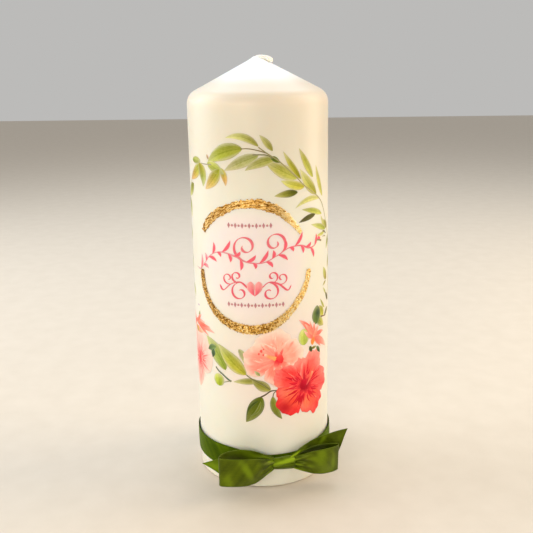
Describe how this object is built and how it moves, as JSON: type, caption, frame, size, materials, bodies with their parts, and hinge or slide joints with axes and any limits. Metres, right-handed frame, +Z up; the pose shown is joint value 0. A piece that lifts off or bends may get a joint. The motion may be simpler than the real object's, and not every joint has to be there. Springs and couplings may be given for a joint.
{
  "type": "ceremony pillar candle",
  "caption": "Tall pillar candle with a cone top, printed flower wreath and gold leaf ring on its front, and a satin ribbon bow tied round its foot.",
  "frame": {"origin": "centre of the pillar's foot, on the surface that it stands on", "axes": "+Z up along the pillar, -Y out through the middle of the gold leaf ring on its front, +X to the viewer's right"},
  "size_m": [0.0884, 0.0924, 0.2312],
  "materials": {
    "core_wax": "pressed paraffin wax, matt",
    "coat_wax": "hard paraffin overdip, ivory white, soft sheen",
    "wick_cotton": "braided cotton soaked in wax",
    "printed_film": "printed transfer film fused to the wax",
    "gold_leaf": "crinkled metal leaf and glitter",
    "satin_ribbon": "single-face satin, leaf green"
  },
  "bodies": {
    "candle": {"wax_core": "core_wax", "overdip_coat": "coat_wax", "wick_stem": "wick_cotton", "decal_film": "printed_film", "gold_leaf_upper": "gold_leaf", "gold_leaf_lower": "gold_leaf"},
    "wick": {"wick_tip": "wick_cotton"},
    "ribbon": {"ribbon_band": "satin_ribbon", "bow_knot": "satin_ribbon", "bow_loop_left": "satin_ribbon", "bow_loop_right": "satin_ribbon", "bow_tail_left": "satin_ribbon", "bow_tail_right": "satin_ribbon"}
  },
  "joints": [
    {"name": "wick_bend", "type": "hinge", "parent": "candle", "child": "wick", "pos_m": [0, 0, 0.2299], "axis": [-0.0175, -0.9998, 0], "range_deg": [0, 95]},
    {"name": "ribbon_slide", "type": "slide", "parent": "candle", "child": "ribbon", "axis": [0, 0, 1], "range_m": [-0.002, 0.235]}
  ]
}
